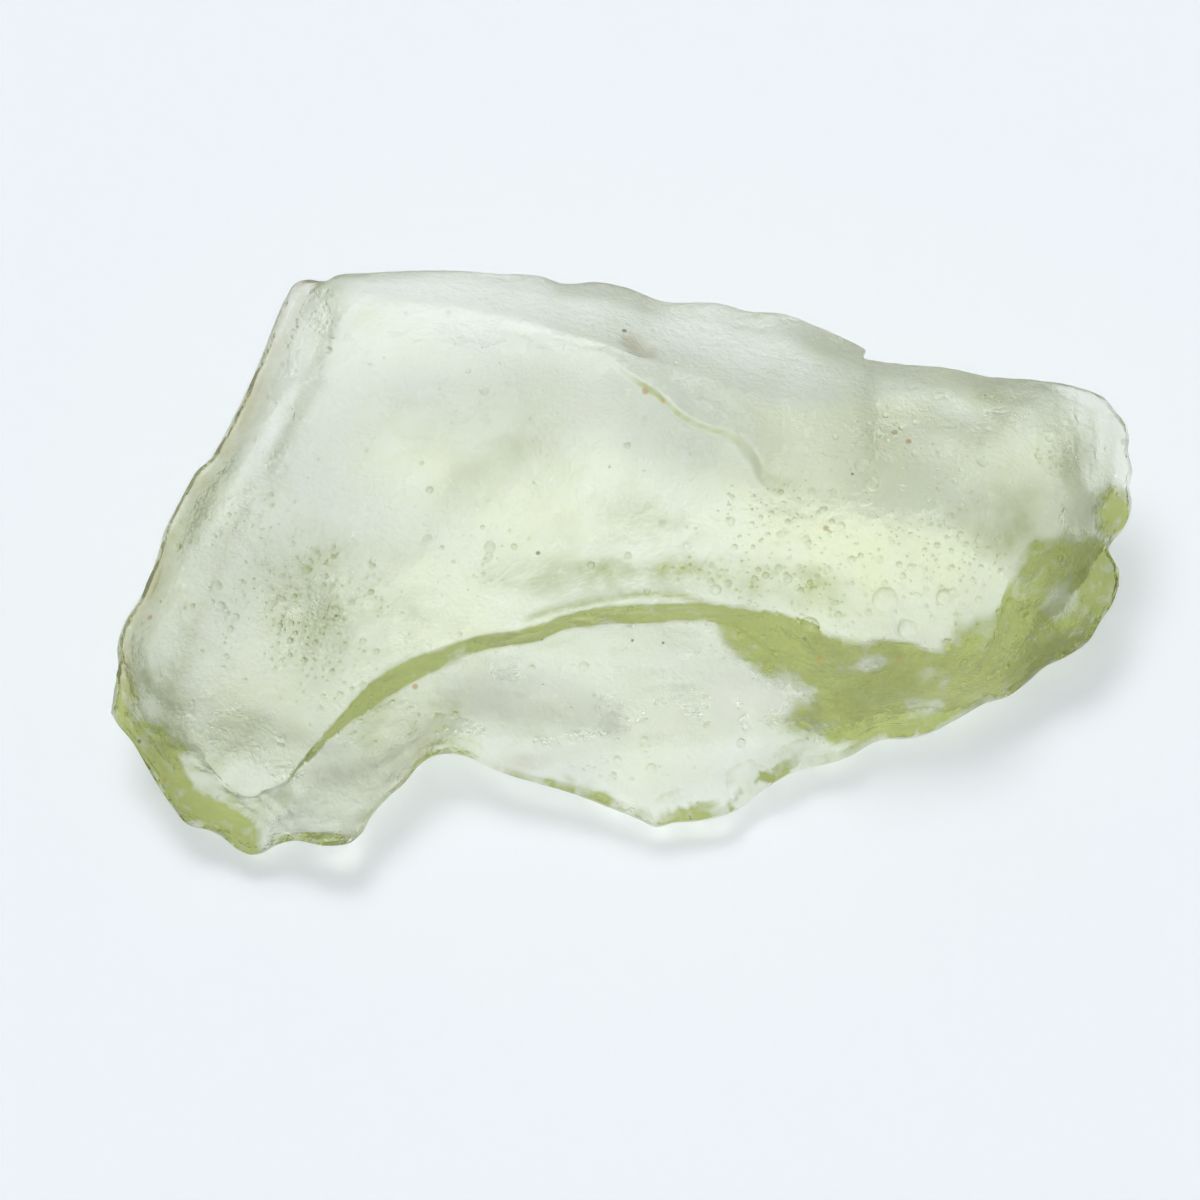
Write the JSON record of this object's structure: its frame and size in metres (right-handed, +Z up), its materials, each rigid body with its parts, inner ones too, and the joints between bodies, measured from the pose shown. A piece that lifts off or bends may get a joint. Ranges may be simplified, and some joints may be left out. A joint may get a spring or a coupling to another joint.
{
  "type": "raw libyan desert glass",
  "caption": "Naturally broken, sand-worn shard of pale yellow-green desert glass with a flake hollow under a ledge, open bubbles and thin edges, flat where it rests.",
  "frame": {"origin": "centre of the piece in plan, on the flat face it rests on", "axes": "+X from the pointed left tip to the right end, along its length; +Y from the hollowed front edge to the back edge; +Z up from the rest face"},
  "size_m": [0.0426, 0.0256, 0.008],
  "materials": {
    "desert_glass": "satin, sand-worn, translucent"
  },
  "bodies": {
    "root": {"desert_glass": "desert_glass"}
  },
  "joints": []
}
